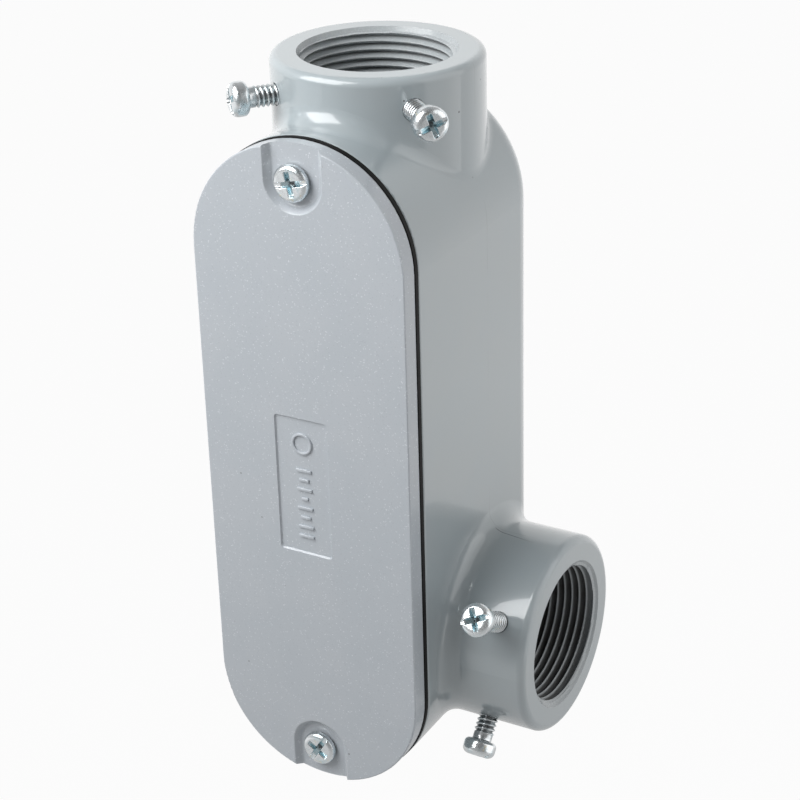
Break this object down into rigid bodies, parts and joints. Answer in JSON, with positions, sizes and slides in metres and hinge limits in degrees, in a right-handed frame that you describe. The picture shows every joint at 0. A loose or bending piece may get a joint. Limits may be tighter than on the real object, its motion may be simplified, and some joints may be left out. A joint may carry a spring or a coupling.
{
  "type": "conduit body",
  "caption": "Side-outlet conduit body: a round-ended cast box with a threaded conduit hub on top and one low on the right, a gasketed screw-on cover and clamping set screws.",
  "frame": {"origin": "middle of the top hub's face, on the hub's axis", "axes": "+Z out of the top hub, +X out of the side hub, -Y out of the cover, +Y out of the flat back"},
  "size_m": [0.0863, 0.0727, 0.1989],
  "materials": {
    "casting_enamel": "gloss light grey enamel on a die casting",
    "cover_enamel": "satin metallic grey paint with fine sparkle",
    "gasket_rubber": "matt black sheet rubber",
    "zinc_plate": "bright zinc plated steel"
  },
  "bodies": {
    "housing": {"body": "casting_enamel"},
    "cover_plate": {"cover": "cover_enamel", "gasket": "gasket_rubber"},
    "upper_cover_screw": {"cover_screw_upper": "zinc_plate"},
    "lower_cover_screw": {"cover_screw_lower": "zinc_plate"},
    "top_set_screw_left_body": {"top_set_screw_left": "zinc_plate"},
    "top_set_screw_right_body": {"top_set_screw_right": "zinc_plate"},
    "side_set_screw_upper_body": {"side_set_screw_upper": "zinc_plate"},
    "side_set_screw_lower_body": {"side_set_screw_lower": "zinc_plate"}
  },
  "joints": [
    {"name": "cover_lift_off", "type": "slide", "parent": "housing", "child": "cover_plate", "axis": [0, -1, 0], "range_m": [0, 0.03]},
    {"name": "cover_screw_upper_travel", "type": "slide", "parent": "cover_plate", "child": "upper_cover_screw", "axis": [0, -1, 0], "range_m": [0, 0.011]},
    {"name": "cover_screw_lower_travel", "type": "slide", "parent": "cover_plate", "child": "lower_cover_screw", "axis": [0, -1, 0], "range_m": [0, 0.011]},
    {"name": "top_set_screw_left_travel", "type": "slide", "parent": "housing", "child": "top_set_screw_left_body", "axis": [-0.6428, -0.766, 0], "range_m": [-0.0073, 0.0052]},
    {"name": "top_set_screw_right_travel", "type": "slide", "parent": "housing", "child": "top_set_screw_right_body", "axis": [0.7431, -0.6691, 0], "range_m": [-0.0094, 0.0031]},
    {"name": "side_set_screw_upper_travel", "type": "slide", "parent": "housing", "child": "side_set_screw_upper_body", "axis": [0, -0.8572, 0.515], "range_m": [-0.0115, 0.001]},
    {"name": "side_set_screw_lower_travel", "type": "slide", "parent": "housing", "child": "side_set_screw_lower_body", "axis": [0, -0.6428, -0.766], "range_m": [-0.0063, 0.0062]}
  ]
}
